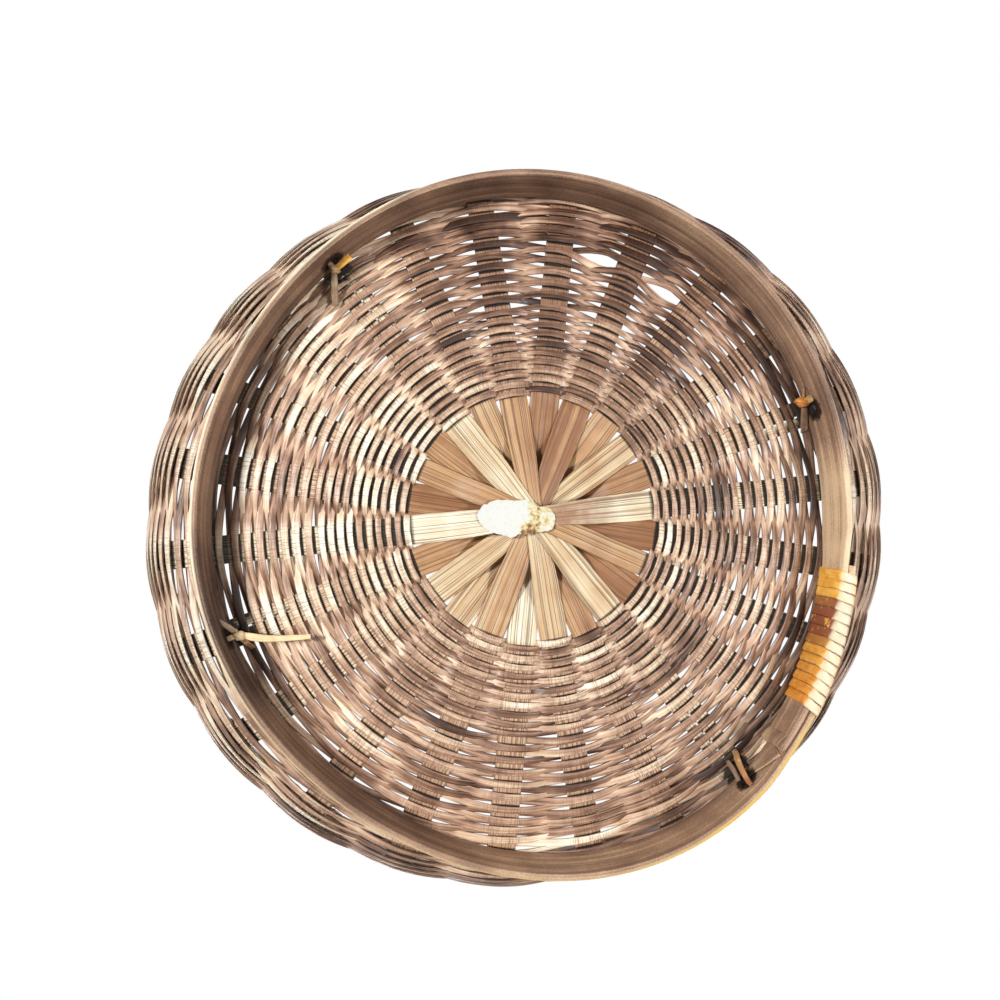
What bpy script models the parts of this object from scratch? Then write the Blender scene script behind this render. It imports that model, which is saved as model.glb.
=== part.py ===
"""Round bamboo basket with a foot hoop, standing mouth up. Metres, +Z up.

The origin is on the ground, at the centre of the foot hoop. Twelve splints cross in a star
at the middle of the base and turn up as 24 stakes. The weave passes over and under them
in rings: each band here stands for three or four rows of fine weaver. The foot hoop is one
bamboo strip with lapped ends, bound with cane and held to the base by four cane ties.
"""
import math

import bpy
from mathutils import Vector

# Clearance between pieces that touch
GAP = 0.0003

# Splints, each a pair of opposite stakes
SPLINT_COUNT = 12
SPLINT_WIDTH = 0.0097
SPLINT_WAIST = 0.0064
SPLINT_THICKNESS = 0.00055
STAKE_PHASE = math.radians(-7.7)
SQUEEZE = 0.94
SQUEEZE_ANGLE = math.radians(-56)

# Weave bands: even ones on the flat base, one over the foot hoop, even ones up the wall
WEAVER_THICKNESS = 0.0008
EVEN_BASE_BANDS = 8
FOOT_BAND = 0.0095
WALL_BANDS = 8
BAND_GAP = 0.0006
STAR_MARGIN = 0.0038

# Side view of the basket
BASE_RADIUS = 0.111
TURN_RADIUS = 0.0225
WALL_ANGLE = math.radians(75)
WALL_LENGTH = 0.037

# The wall is a little oval: this much wider one way and as much narrower the other
OVAL = 0.0028
OVAL_ANGLE = math.radians(164)

# Rim hoops and their lashing
RIM_HEIGHT = 0.012
RIM_THICKNESS = 0.0022
RIM_FACET = 0.019
LASHING_WIDTH = 0.003
LASHING_THICKNESS = 0.0008
LASHING_PLACES = (0.25, 0.75)

# Foot hoop: a strip bent by hand, so it swells two, three and four times round the circle.
# Its two ends lap, and it eases outwards to the outer end and inwards to the inner one
HOOP_RADIUS = 0.112
HOOP_SWELLS = ((2, 0.0035, math.radians(79.8)), (3, 0.0016, math.radians(56.8)),
               (4, 0.0007, math.radians(-16.5)))
HOOP_HEIGHT = 0.016
HOOP_THICKNESS = 0.0024
HOOP_INNER_END = math.radians(44)
HOOP_LAP = math.radians(35)
HOOP_EASE = math.radians(50)
HOOP_OUTWARD_SHARE = 0.37
HOOP_FADE = math.radians(6)
HOOP_SEGMENTS = 66

# Binding round the hoop's lapped ends
BINDING_START = math.radians(11.3)
BINDING_SWEEP = math.radians(24.5)
BINDING_TURNS = 14
BINDING_WIDTH = 0.0031
BINDING_THICKNESS = 0.0007

# Cane ties: number of the stake that each one passes through, and its loose end's length
TIE_ENDS = {"tie_lower_right": (4, 0.005), "tie_left": (11, 0.024),
            "tie_upper_left": (16, 0.006), "tie_right": (23, 0.004)}
TIE_WIDTH = 0.0018
TIE_THICKNESS = 0.0007
TIE_DROP = 0.005
TIE_TUCK = 0.003

# Blank paper label stuck under the star
LABEL_LENGTH = 0.027
LABEL_WIDTH = 0.012
LABEL_THICKNESS = 0.00025
LABEL_PLACE = (-0.006, -0.001)

# Worked out from the sizes above
STAKE_COUNT = 2 * SPLINT_COUNT
STEP = math.tau / STAKE_COUNT
LEVEL = SPLINT_THICKNESS + GAP
NEIGHBOURS_CLEAR = SPLINT_WIDTH / 2 / math.sin(SQUEEZE * STEP / 2)
LAYER_CLEAR = SPLINT_WIDTH / 2 / math.sin(SQUEEZE * STEP)
SPLAY_RADIUS = (LAYER_CLEAR + NEIGHBOURS_CLEAR) / 2
STAR_RADIUS = NEIGHBOURS_CLEAR + STAR_MARGIN
WEAVE_OFFSET = SPLINT_THICKNESS / 2 + GAP + WEAVER_THICKNESS / 2
WEAVE_REACH = WEAVE_OFFSET + WEAVER_THICKNESS / 2
BAND_EDGE = SPLINT_WIDTH / 2 + GAP
BASE_HEIGHT = HOOP_HEIGHT + GAP + WEAVE_REACH
TURN_LENGTH = TURN_RADIUS * WALL_ANGLE
WALL_TOP = BASE_RADIUS + TURN_LENGTH + WALL_LENGTH
RIM_BOTTOM = WALL_TOP + LASHING_THICKNESS + 2 * GAP
RIM_TOP = RIM_BOTTOM + RIM_HEIGHT
RIM_INNER = SPLINT_THICKNESS / 2 + GAP
RIM_OUTER = RIM_INNER + RIM_THICKNESS
HOOP_RELIEF = BINDING_THICKNESS + 2 * GAP
HOOP_SAG = HOOP_RADIUS * (1 - math.cos((math.tau + HOOP_LAP) / HOOP_SEGMENTS / 2))
TIE_HEIGHT = HOOP_HEIGHT - TIE_DROP
STAR_DEPTH = LEVEL / 2 + (SPLINT_COUNT // 2 - 1) * LEVEL + SPLINT_THICKNESS / 2


def stake_angle(number):
    """Direction of a stake: even spacing, squeezed a little across one diameter."""
    along = STAKE_PHASE + number * STEP - SQUEEZE_ANGLE
    turned = math.atan2(math.sin(along), SQUEEZE * math.cos(along))
    whole_turns = round((along - turned) / math.tau)
    return SQUEEZE_ANGLE + turned + whole_turns * math.tau


def meridian(s):
    """Radius and height of the weave's middle surface at length s from the centre."""
    turned = min(max(s - BASE_RADIUS, 0.0) / TURN_RADIUS, WALL_ANGLE)
    straight = max(s - BASE_RADIUS - TURN_LENGTH, 0.0)
    radius = min(s, BASE_RADIUS) + TURN_RADIUS * math.sin(turned) + straight * math.cos(WALL_ANGLE)
    height = BASE_HEIGHT + TURN_RADIUS * (1 - math.cos(turned)) + straight * math.sin(WALL_ANGLE)
    return Vector((radius, height))


def even_steps(start, end, count):
    return [start + (end - start) * i / count for i in range(count + 1)]


BASE_KNOTS = even_steps(STAR_RADIUS, BASE_RADIUS - FOOT_BAND, EVEN_BASE_BANDS)
WALL_KNOTS = even_steps(BASE_RADIUS, WALL_TOP, WALL_BANDS)
KNOTS = BASE_KNOTS + WALL_KNOTS


def inward_normal(a, b):
    """Normal of the line from a to b in the side view, towards the inside of the basket."""
    along = (b - a).normalized()
    return Vector((-along.y, along.x))


def place(angle, across, point):
    """World place of a side-view point, moved across by a distance along the ground."""
    radial = Vector((math.cos(angle), math.sin(angle), 0))
    sideways = Vector((-math.sin(angle), math.cos(angle), 0))
    return radial * point.x + sideways * across + Vector((0, 0, point.y))


def bulge(angle):
    """How much further out than its mean the oval wall stands in a direction."""
    return OVAL * math.cos(2 * (angle - OVAL_ANGLE))


def place_on_body(angle, across, point):
    """World place on the oval body, which is round up to where it crosses the foot hoop."""
    share = min(max(point.x - BASE_RADIUS + FOOT_BAND, 0.0) / FOOT_BAND, 1.0)
    return place(angle, across, point + Vector((bulge(angle) * share, 0)))


def loft(name, sections, closed):
    """One closed body through a row of sections with the same number of corners, each in
    anticlockwise order as seen by someone moving along the row."""
    corners = len(sections[0])
    vertices = [corner for section in sections for corner in section]
    spans = len(sections) if closed else len(sections) - 1
    faces = []
    for i in range(spans):
        here = i * corners
        ahead = (i + 1) % len(sections) * corners
        for k in range(corners):
            m = (k + 1) % corners
            faces.append((here + k, ahead + k, ahead + m, here + m))
    if not closed:
        faces.append(tuple(range(corners)))
        faces.append(tuple(reversed(range(spans * corners, (spans + 1) * corners))))
    mesh = bpy.data.meshes.new(name)
    mesh.from_pydata(vertices, [], faces)
    mesh.validate()
    piece = bpy.data.objects.new(name, mesh)
    PARTS.objects.link(piece)
    return piece


def paint(piece, material):
    piece.data.materials.append(material)
    return piece


def surface_finish(name, colour, roughness):
    material = bpy.data.materials.new(name)
    material.use_nodes = True
    shader = material.node_tree.nodes["Principled BSDF"]
    shader.inputs["Base Color"].default_value = (*colour, 1.0)
    shader.inputs["Roughness"].default_value = roughness
    shader.inputs["Metallic"].default_value = 0.0
    material.diffuse_color = (*colour, 1.0)
    return material


def splint_stations(splint):
    """Side-view places along one half of a splint, from the centre to the tip, as
    (point, width, thickness direction scaled for the mitre)."""
    lower_layer = splint % 2 == 0
    sign = -1 if lower_layer else 1
    order = splint // 2
    share = SPLINT_COUNT // 2 - 1 - order if lower_layer else order
    stacked = sign * (LEVEL / 2 + share * LEVEL)
    layered = sign * LEVEL / 2
    middle_width = SPLINT_WAIST + (SPLINT_WIDTH - SPLINT_WAIST) * LAYER_CLEAR / SPLAY_RADIUS
    points = [Vector((0, BASE_HEIGHT + stacked)), Vector((LAYER_CLEAR, BASE_HEIGHT + stacked)),
              Vector((SPLAY_RADIUS, BASE_HEIGHT + layered)),
              Vector((NEIGHBOURS_CLEAR + GAP, BASE_HEIGHT + layered))]
    points += [meridian(s) for s in KNOTS] + [meridian(RIM_TOP)]
    widths = [SPLINT_WAIST, middle_width] + [SPLINT_WIDTH] * (len(points) - 2)
    stations = []
    for i, point in enumerate(points):
        before = inward_normal(points[max(i - 1, 0)], points[max(i, 1)])
        after = inward_normal(points[min(i, len(points) - 2)], points[min(i + 1, len(points) - 1)])
        normal = (before + after).normalized()
        stations.append((point, widths[i], normal / normal.dot(before)))
    return stations


def splint(number, material):
    """A long strip: down one wall, through the star and up the other wall."""
    stations = splint_stations(number)
    one, other = stake_angle(number), stake_angle(number + SPLINT_COUNT)
    half = SPLINT_THICKNESS / 2

    def section(angle, station, flip):
        point, width, normal = station
        side = -width / 2 if flip else width / 2
        low, high = point - normal * half, point + normal * half
        return [place_on_body(angle, -side, low), place_on_body(angle, side, low),
                place_on_body(angle, side, high), place_on_body(angle, -side, high)]

    sections = [section(one, station, False) for station in reversed(stations[1:])]
    sections.append(section((one + other - math.pi) / 2, stations[0], False))
    sections += [section(other, station, True) for station in stations[1:]]
    return paint(loft(f"splint_{number + 1:02d}", sections, False), material)


def band_outline(start, end, side):
    """Corners of a weave band between two knots, inside (+1) or outside (-1) the stakes."""
    a, b = meridian(start), meridian(end)
    along = (b - a).normalized()
    normal = inward_normal(a, b)
    low = normal * (side * WEAVE_OFFSET - WEAVER_THICKNESS / 2)
    high = normal * (side * WEAVE_OFFSET + WEAVER_THICKNESS / 2)
    a += along * BAND_GAP / 2
    b -= along * BAND_GAP / 2
    return [a + low, b + low, b + high, a + high]


def stake_ring(name, outlines, across, material):
    """A ring with a flat facet at every stake, its corners at that distance to each side."""
    sections = []
    for stake in range(STAKE_COUNT):
        for side in (-across, across):
            outline = outlines[stake % len(outlines)]
            sections.append([place_on_body(stake_angle(stake), side, point) for point in outline])
    return paint(loft(name, sections, True), material)


def weave_band(name, start, end, first_side, material):
    outlines = [band_outline(start, end, first_side), band_outline(start, end, -first_side)]
    return stake_ring(name, outlines, BAND_EDGE, material)


def rim_hoop(name, side, material):
    a, b = meridian(RIM_BOTTOM), meridian(RIM_TOP)
    normal = inward_normal(a, b) * side
    outline = [a + normal * RIM_INNER, b + normal * RIM_INNER,
               b + normal * RIM_OUTER, a + normal * RIM_OUTER]
    if side < 0:
        outline.reverse()
    return stake_ring(name, [outline], RIM_FACET / 2, material)


def strip_section(angle, width, centre, thickness_half):
    """Rectangular section of a cane strip, with its width along the tangent."""
    low, high = centre - thickness_half, centre + thickness_half
    return [place(angle, -width / 2, low), place(angle, width / 2, low),
            place(angle, width / 2, high), place(angle, -width / 2, high)]


def rim_lashing(material):
    """Cane that goes round both rim hoops twice between each pair of stakes."""
    a, b = meridian(RIM_BOTTOM), meridian(RIM_TOP)
    along, normal = (b - a).normalized(), inward_normal(a, b)
    half = LASHING_THICKNESS / 2
    corners = []
    for end, up in ((a, -1), (b, 1)):
        for side in (1, -1):
            centre = end + along * up * (GAP + half) + normal * side * (RIM_OUTER + 2 * GAP + half)
            corners.append((centre, (along * up + normal * side) * half))
    inner_low, outer_low, inner_high, outer_high = corners
    sections = []
    for stake in range(STAKE_COUNT):
        here, ahead = stake_angle(stake), stake_angle(stake + 1)
        for share in LASHING_PLACES:
            angle = here + (ahead - here) * share
            out = Vector((bulge(here if share < 0.5 else ahead), 0))
            for centre, outward in (inner_low, outer_low, outer_high, inner_high):
                sections.append(strip_section(angle, LASHING_WIDTH, centre + out, outward))
    return paint(loft("rim_lashing", sections, True), material)


def eased(start, end, value):
    """Smooth step from 0 at the start to 1 at the end."""
    t = min(max((value - start) / (end - start), 0.0), 1.0)
    return t * t * (3 - 2 * t)


def hoop_outer_radius(sweep):
    """Outer radius of the hoop's strip. The sweep starts at its outer end, and the strip's
    last stretch lies inside its first."""
    angle = HOOP_INNER_END - HOOP_LAP + sweep
    swell = sum(size * math.cos(times * (angle - peak)) for times, size, peak in HOOP_SWELLS)
    outward = HOOP_OUTWARD_SHARE * (1 - eased(HOOP_LAP, HOOP_LAP + HOOP_EASE, sweep))
    inward = (1 - HOOP_OUTWARD_SHARE) * eased(math.tau - HOOP_EASE, math.tau, sweep)
    return HOOP_RADIUS + swell + (outward - inward) * (HOOP_THICKNESS + GAP)


def hoop_sweep(angle):
    """Sweep at which the strip passes a direction, outside the lapped stretch."""
    return (angle - HOOP_INNER_END + HOOP_LAP) % math.tau


def foot_hoop(material):
    """Bamboo strip on edge. Its edges are shaved along the lap, under the binding."""
    total = math.tau + HOOP_LAP
    sections = []
    for sweep in even_steps(0.0, total, HOOP_SEGMENTS):
        from_lap = max(min(sweep - HOOP_LAP, math.tau - sweep), 0.0)
        relief = HOOP_RELIEF * max(1.0 - from_lap / HOOP_FADE, 0.0)
        outer = hoop_outer_radius(sweep)
        inner = outer - HOOP_THICKNESS
        angle = HOOP_INNER_END - HOOP_LAP + sweep
        outline = [Vector((inner, relief)), Vector((outer, relief)),
                   Vector((outer, HOOP_HEIGHT - relief)), Vector((inner, HOOP_HEIGHT - relief))]
        sections.append([place(angle, 0, point) for point in outline])
    return paint(loft("foot_hoop", sections, False), material)


def hoop_binding(material):
    """Cane wound round the two lapped ends."""
    margin = GAP + BINDING_THICKNESS / 2
    half = BINDING_THICKNESS / 2
    low, high = HOOP_RELIEF - margin, HOOP_HEIGHT - HOOP_RELIEF + margin
    sections = []
    for angle in even_steps(BINDING_START, BINDING_START + BINDING_SWEEP, BINDING_TURNS - 1):
        sweep = hoop_sweep(angle)
        outer = hoop_outer_radius(sweep) + margin
        inner = hoop_outer_radius(sweep + math.tau) - HOOP_THICKNESS - HOOP_SAG - margin
        for point, outward in ((Vector((inner, low)), Vector((-half, -half))),
                               (Vector((outer, low)), Vector((half, -half))),
                               (Vector((outer, high)), Vector((half, half))),
                               (Vector((inner, high)), Vector((-half, half)))):
            sections.append(strip_section(angle, BINDING_WIDTH, point, outward))
    return paint(loft("hoop_binding", sections, False), material)


def tie_legs(angle):
    """Radius of a tie's inner and outer leg, against the two faces of the hoop."""
    outer = hoop_outer_radius(hoop_sweep(angle))
    margin = GAP + TIE_THICKNESS / 2
    return outer - HOOP_THICKNESS - HOOP_SAG - margin, outer + margin


def cane_tie(name, stake, loose_end, material):
    """Cane strip: in from its loose end through the hoop, up outside it, over the stake
    inside the basket and down again to a tucked end beside the hoop."""
    angle = stake_angle(stake)
    inner, outer = tie_legs(angle)
    top = meridian(outer - bulge(angle)).y + WEAVE_REACH + GAP + TIE_THICKNESS / 2
    tucked = TIE_HEIGHT + TIE_THICKNESS + 2 * GAP
    path = [Vector((inner - loose_end, TIE_HEIGHT)), Vector((outer, TIE_HEIGHT)),
            Vector((outer, top)), Vector((inner, top)), Vector((inner, tucked)),
            Vector((inner - TIE_TUCK, tucked))]
    sections = []
    for i, point in enumerate(path):
        before = (path[max(i, 1)] - path[max(i - 1, 0)]).normalized()
        after = (path[min(i + 1, len(path) - 1)] - path[min(i, len(path) - 2)]).normalized()
        right_before, right_after = Vector((before.y, -before.x)), Vector((after.y, -after.x))
        mitre = (right_before + right_after).normalized()
        mitre /= mitre.dot(right_before)
        sections.append(strip_section(angle, TIE_WIDTH, point, mitre * TIE_THICKNESS / 2))
    return paint(loft(name, sections, False), material)


def cutter_box(name, angle, radius, height, size):
    bpy.ops.mesh.primitive_cube_add(size=1, location=place(angle, 0, Vector((radius, height))),
                                    rotation=(0, 0, angle), scale=size)
    return store_cutter(name)


def store_cutter(name):
    cutter = bpy.context.object
    cutter.name = name
    bpy.ops.object.transform_apply(location=False, rotation=False, scale=True)
    for collection in cutter.users_collection:
        collection.objects.unlink(cutter)
    CUTTERS.objects.link(cutter)
    cutter.display_type = "WIRE"
    cutter.hide_render = True
    return cutter


def cut(piece, cutter):
    modifier = piece.modifiers.new(cutter.name, "BOOLEAN")
    modifier.operation = "DIFFERENCE"
    modifier.solver = "EXACT"
    modifier.object = cutter


def open_slots_for_tie(name, stake, hoop, pieces_in_base):
    """A hole through the hoop, and a slot up through the weave for each leg."""
    angle = stake_angle(stake)
    inner, outer = tie_legs(angle)
    wall_middle = (inner + outer) / 2
    hole_radius = math.hypot(TIE_WIDTH, TIE_THICKNESS) / 2 + GAP
    bpy.ops.mesh.primitive_cylinder_add(
        vertices=8, radius=hole_radius / math.cos(math.pi / 8), depth=3 * HOOP_THICKNESS,
        location=place(angle, 0, Vector((wall_middle, TIE_HEIGHT))),
        rotation=(0, math.pi / 2, angle))
    cut(hoop, store_cutter(f"{name}_hole"))
    slot = (TIE_THICKNESS + 2 * GAP, TIE_WIDTH + 2 * GAP, 6 * WEAVE_REACH)
    for leg, radius in (("inner", inner), ("outer", outer)):
        on_weave = radius - bulge(angle)
        cutter = cutter_box(f"{name}_{leg}_slot", angle, radius, meridian(on_weave).y, slot)
        for piece, start, end in pieces_in_base:
            if start < on_weave + slot[0] and on_weave - slot[0] < end:
                cut(piece, cutter)


def paper_label(material):
    """Blank oval label, stuck to the lowest splint of the star."""
    height = BASE_HEIGHT - STAR_DEPTH - GAP - LABEL_THICKNESS / 2
    bpy.ops.mesh.primitive_cylinder_add(vertices=24, radius=0.5, depth=1,
                                        location=(*LABEL_PLACE, height),
                                        scale=(LABEL_LENGTH, LABEL_WIDTH, LABEL_THICKNESS))
    label = bpy.context.object
    label.name = "paper_label"
    bpy.ops.object.transform_apply(location=False, rotation=False, scale=True)
    for collection in label.users_collection:
        collection.objects.unlink(label)
    PARTS.objects.link(label)
    return paint(label, material)


def build():
    straw = surface_finish("pale_splint", (0.62, 0.44, 0.25), 0.55)
    honey = surface_finish("brown_splint", (0.43, 0.25, 0.11), 0.55)
    brown = surface_finish("weaver", (0.27, 0.15, 0.10), 0.5)
    hoop_bamboo = surface_finish("hoop_bamboo", (0.34, 0.22, 0.12), 0.5)
    cane = surface_finish("cane", (0.62, 0.36, 0.08), 0.45)
    paper = surface_finish("paper", (0.85, 0.84, 0.80), 0.8)

    splints = [splint(i, honey if i % 2 else straw) for i in range(SPLINT_COUNT)]
    bands = []
    for i, (start, end) in enumerate(zip(KNOTS[:-1], KNOTS[1:])):
        on_wall = i - len(BASE_KNOTS)
        name = f"base_weave_{i + 1:02d}" if on_wall < 0 else f"wall_weave_{on_wall + 1:02d}"
        side = -1 if i % 2 == 0 else 1
        bands.append((weave_band(name, start, end, side, brown), start, end))
    hoop = foot_hoop(hoop_bamboo)
    hoop_binding(cane)
    for name, (stake, loose_end) in TIE_ENDS.items():
        cane_tie(name, stake, loose_end, cane)
        own_splint = splints[stake % SPLINT_COUNT]
        open_slots_for_tie(name, stake, hoop, bands + [(own_splint, 0.0, WALL_TOP)])
    rim_hoop("inner_rim_hoop", 1, hoop_bamboo)
    rim_hoop("outer_rim_hoop", -1, hoop_bamboo)
    rim_lashing(cane)
    paper_label(paper)


for leftover in list(bpy.data.objects):
    bpy.data.objects.remove(leftover, do_unlink=True)
PARTS = bpy.data.collections.new("bamboo_basket")
CUTTERS = bpy.data.collections.new("cutters")
bpy.context.scene.collection.children.link(PARTS)
bpy.context.scene.collection.children.link(CUTTERS)
build()
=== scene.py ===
"""Looks of the round bamboo basket, seen from below as in the photograph.

The weave, splints, foot hoop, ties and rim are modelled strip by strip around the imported
frame. Metres; +Z up out of the mouth; the photograph looks up at the foot hoop.
Angles run from +X (right in the photograph) towards +Y (down in the photograph).
"""
import math

import bmesh
import bpy
import numpy as np
from mathutils import Matrix, Quaternion, Vector


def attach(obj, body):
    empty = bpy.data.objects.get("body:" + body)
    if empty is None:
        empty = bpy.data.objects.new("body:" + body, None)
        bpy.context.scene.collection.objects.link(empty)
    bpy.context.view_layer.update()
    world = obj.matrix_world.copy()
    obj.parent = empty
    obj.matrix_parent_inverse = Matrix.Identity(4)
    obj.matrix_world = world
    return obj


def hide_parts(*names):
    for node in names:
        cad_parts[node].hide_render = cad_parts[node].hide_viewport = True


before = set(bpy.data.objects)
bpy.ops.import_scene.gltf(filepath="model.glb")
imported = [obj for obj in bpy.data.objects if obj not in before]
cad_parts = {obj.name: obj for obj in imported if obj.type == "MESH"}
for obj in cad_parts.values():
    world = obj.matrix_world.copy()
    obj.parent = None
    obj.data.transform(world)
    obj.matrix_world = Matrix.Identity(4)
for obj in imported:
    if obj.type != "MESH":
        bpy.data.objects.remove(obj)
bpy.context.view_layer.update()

MM = 0.001
DEG = math.pi / 180
RNG = np.random.default_rng(1244)

# Camera: the foot hoop's lower centre in the camera's axes, and how the basket is tilted
HOOP_CENTRE = Vector((0.01303, -0.00501, -0.234))
TILT = 5.7 * DEG
TILT_TOWARDS = 35.9 * DEG
LENS = 26.0

# Side view of the weave's middle surface, and how oval the wall is, as in the frame
BASE_HEIGHT = 0.017675
BASE_RADIUS = 0.111
FOOT_BAND = 0.0095
TURN_RADIUS = 0.0225
WALL_ANGLE = 75 * DEG
TURN_LENGTH = TURN_RADIUS * WALL_ANGLE
WALL_TOP = BASE_RADIUS + TURN_LENGTH + 0.037
RIM_HEIGHT = 0.012
RIM_BOTTOM = WALL_TOP + 0.0014
RIM_TOP = RIM_BOTTOM + RIM_HEIGHT
RIM_MIDDLE = (RIM_BOTTOM + RIM_TOP) / 2
OVAL = 0.0028
OVAL_ANGLE = 164 * DEG

# Stakes: even spacing squeezed a little across one diameter
STAKES = 24
STEP = math.tau / STAKES
STAKE_PHASE = -7.7 * DEG
SQUEEZE = 0.94
SQUEEZE_ANGLE = -56 * DEG

# Splints of the star
SPLINTS = 12
SPLINT_THICKNESS = 0.00055
LEVEL = 0.00085
STACKED_TO = 0.0199
SPLAYED_AT = 0.0297
STAR_EDGE = 0.0398
STAR_RADIUS = 0.0433
WAIST = 0.0066
WAIST_REACH = 0.028
SPLINT_WIDTHS = np.array((9.6, 10.4, 7.9, 10.8, 9.8, 8.9, 9.3, 9.8, 10.1, 10.0, 9.5, 9.7)) * MM
# How brown each splint is, from 0 for straw to 1 for orange brown, and its far half if that differs
SPLINT_TONES = (0.26, 1.04, 0.70, 1.0, 0.42, 0.76, 0.50, 0.12, 0.66, 0.50, 0.46, 0.72)
FAR_HALF_TONES = {0: 0.16, 1: 0.98, 3: 0.78, 4: 0.30, 5: 0.60, 6: 0.76, 7: 0.90, 8: 0.94, 9: 0.72, 11: 0.86}
# Where a splint's sections get another spacing: length from the centre, spacing
SPLINT_SECTIONS = ((0.0, 0.002), (STAR_EDGE, 0.0003), (0.12, 0.0012), (0.144, 0.003), (RIM_TOP, 0.0))

# Weave rows: fine near the star, coarser outside, and closer again up the wall
FIRST_ROW = 0.04365
FINE_PITCH = 0.0016
FINE_ROWS = 20
FINE_TO = FIRST_ROW + FINE_ROWS * FINE_PITCH
ROW_STEP_OUT = 0.0006
COARSE_PITCH = 0.00203
WALL_PITCH = 0.0016
WALL_PITCH_FROM = 0.119
WALL_PITCH_EASE = 0.004
LAST_ROW_UNDER_TOP = 0.0008
HALF_STAKE = 0.0049
WEAVE_OFFSET = 0.00086
FLOAT_BOW = 0.0002
WEAVER_THICKNESS = 0.00076
FINE_WIDTH = 0.00218
COARSE_WIDTH = 0.00258
WALL_WIDTH = 0.0022
ZIGZAG = 0.08
ROLL = 9 * DEG
TWIST = -15 * DEG
BASE_BANDS = 9
WALL_BANDS = 8
BAND_KNOTS = np.concatenate([np.linspace(STAR_RADIUS, BASE_RADIUS - FOOT_BAND, BASE_BANDS),
                             np.linspace(BASE_RADIUS, WALL_TOP, WALL_BANDS + 1)])
# Long gaps between rows: distance from the centre, stake before the gap
OPEN_GAPS = ((0.095, 19), (0.093, 20))
GAP_OPENING = 0.0022
GAP_FADE = 0.005
# Painted shade of the crevice at a float's inner edge, with the float's height over it and the eye's place
CREVICE_WIDTH = 0.00095
FLOAT_RISE = 0.0007
EYE_DISTANCE = 0.25
EYE_OFFSET = 0.032
# Random spread along a row and, where a name starts with ROW, from row to row
WANDER = 0.00010
ROW_ERROR = 0.00005
LIFT_SPREAD = 0.06
ROLL_SPREAD = 0.25
WIDTH_SPREAD = 0.05
ROW_WIDTH_SPREAD = 0.03
TONE_SPREAD = 0.15
ROW_TONE_SPREAD = 0.10

# Patches: a value, the directions that have it (from, to and soft end, in degrees) and, on the
# weave, the rows that have it (from, to and soft end, in mm from the centre)
ALL_ROUND = (-200, 200, 10)
ALL_ROWS = (0, 300, 10)
NEAR_HOOP = (99.5, 121, 4)
OUTER_ROWS = (77, 300, 14)
MIDDLE_ROWS = (74, 91, 5)
TOP = (246, 324, 30)
UPPER_LEFT = (205, 242, 14)
DENSE_SIDE = (247, 345, 10)
LOOSE_SIDE = (88, 222, 12)
WIDE_ZIGZAG = ((0.9, (75, 140, 14), OUTER_ROWS), (0.9, (-20, 35, 14), OUTER_ROWS),
               (2.6, (245, 305, 14), (60, 300, 8)))
ROW_TONES = ((0.05, ALL_ROUND, (0, 57.2, 1)), (-0.06, ALL_ROUND, MIDDLE_ROWS), (-0.10, TOP, ALL_ROWS),
             (0.09, UPPER_LEFT, ALL_ROWS), (0.08, UPPER_LEFT, (88, 104, 4)),
             (0.07, (240, 300, 20), (102, 108, 2)), (0.07, (120, 190, 20), (89, 101, 3)),
             (-0.13, (92, 126, 14), (120, 300, 4)), (0.16, (190, 214, 10), (134, 300, 4)))
# Floats: darker at the top, and painted lighter at the left as a painted highlight
FLOAT_TONES = ((-0.16, TOP), (0.19, (150, 222, 20)))
# Hoop: a painted highlight at the right near 0°, a painted shadow at the left from 146° to 174°, and
# lighter at 20° to 100° and 176° to 214°
HOOP_TONES = ((0.45, (-12, 11, 14)), (0.14, (20, 100, 20)), (-0.30, (146, 174, 16)), (0.13, (176, 214, 12)))
HOOP_SHADE = ((1.0, (146, 212, 14)), (0.6, (-42, 58, 20)))
HOOP_SHADE_FROM = 0.0985
HOOP_SHADE_TO = 0.111

# Foot hoop: one strip on edge that laps itself
HOOP_RADIUS = 0.112
HOOP_SWELLS = ((2, 0.0035, 79.8 * DEG), (3, 0.0016, 56.8 * DEG), (4, 0.0007, -16.5 * DEG))
HOOP_HEIGHT = 0.016
HOOP_THICKNESS = 0.0024
HOOP_STEP = HOOP_THICKNESS + 0.0003
HOOP_INNER_END = 44 * DEG
HOOP_LAP = 35 * DEG
HOOP_START = HOOP_INNER_END - HOOP_LAP
HOOP_EASE = 50 * DEG
HOOP_OUTWARD_SHARE = 0.37
HOOP_FADE = 6 * DEG
HOOP_RELIEF = 0.0013
# Pale outer corner of the hoop's lower edge: direction in degrees, strength, width in mm, gold
HOOP_CORNER = ((-20, 0.55, 0.5, 0.2), (8, 0.6, 0.6, 0.2), (34, 0.7, 0.9, 0.8), (40, 0.95, 1.4, 1.0),
               (60, 0.95, 1.3, 1.0), (78, 0.7, 0.8, 0.9), (100, 0.6, 0.6, 0.8), (140, 0.7, 0.7, 0.5),
               (160, 1.0, 0.9, 0.1), (243, 1.0, 0.9, 0.0), (256, 0.15, 0.4, 0.4), (334, 0.12, 0.4, 0.6))
HOOP_CORNER_HEIGHT = 0.0011

# Cane round the hoop's lapped ends
BINDING_START = 11.3 * DEG
BINDING_SWEEP = 24.5 * DEG
BINDING_TURNS = 14
BINDING_WIDTH = 0.00325
BINDING_OUTSIDE = 0.00065
BINDING_INSIDE = 0.00085
BINDING_WORN = (15.8, 23.8, 2)
CANE_THICKNESS = 0.0007

# Ties: their holes in the hoop, the slits in the stakes behind them, and the painted shade round the holes
TIE_STAKES = (4, 11, 16, 23)
TIE_HOLE_HEIGHT = 0.0098
TIE_HOLE_SIZE = (0.0030, 0.0042, 0.008)
SLIT_START = 0.086
SLIT_LENGTH = 0.021
SLIT_WIDTH = 0.0005
SLIT_ASIDE = 0.0006
GLOOM_ON_WEAVE = 0.0094
GLOOM_ON_HOOP = 0.0047
GLOOM_RAG = 0.0007

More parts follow.
